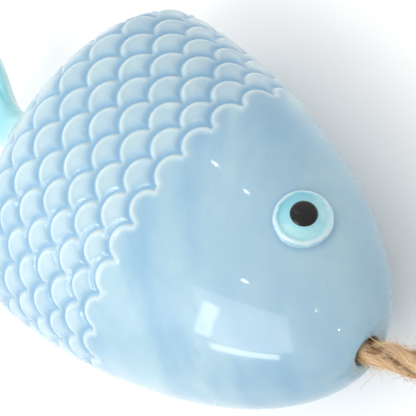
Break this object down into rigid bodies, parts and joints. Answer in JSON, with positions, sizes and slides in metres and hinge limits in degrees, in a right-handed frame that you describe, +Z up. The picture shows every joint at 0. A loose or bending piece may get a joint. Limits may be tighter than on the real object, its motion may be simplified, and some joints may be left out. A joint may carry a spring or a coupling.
{
  "type": "ceramic fish hanging ornament",
  "caption": "Hollow glazed ceramic fish ornament with raised scales, domed eyes and a two-lobed tail, hung by a jute rope from its mouth.",
  "frame": {"origin": "on the surface that the fish lies on, under the middle of the fish without its rope", "axes": "+X from tail to mouth, +Y from belly to back, +Z up, out of the fish's right flank"},
  "size_m": [0.3145, 0.139, 0.067],
  "materials": {
    "body_glaze": "glossy light blue glaze, paler on raised rims, deeper blue where it pools",
    "tail_glaze": "glossy aqua glaze",
    "iris_glaze": "glossy turquoise glaze with a pale rim",
    "pupil_glaze": "glossy black glaze",
    "jute": "three-strand natural jute rope with loose fibres"
  },
  "bodies": {
    "fish": {"body_shell": "body_glaze", "tail_fin": "tail_glaze", "eye_right": "iris_glaze", "eye_left": "iris_glaze", "pupil_right": "pupil_glaze", "pupil_left": "pupil_glaze"},
    "rope": {"rope_lead": "jute", "rope_coil": "jute", "end_knot": "jute", "stopper_knot": "jute"}
  },
  "joints": [
    {"name": "rope_slide", "type": "slide", "parent": "fish", "child": "rope", "axis": [1, 0, 0], "range_m": [0, 0.02]}
  ]
}
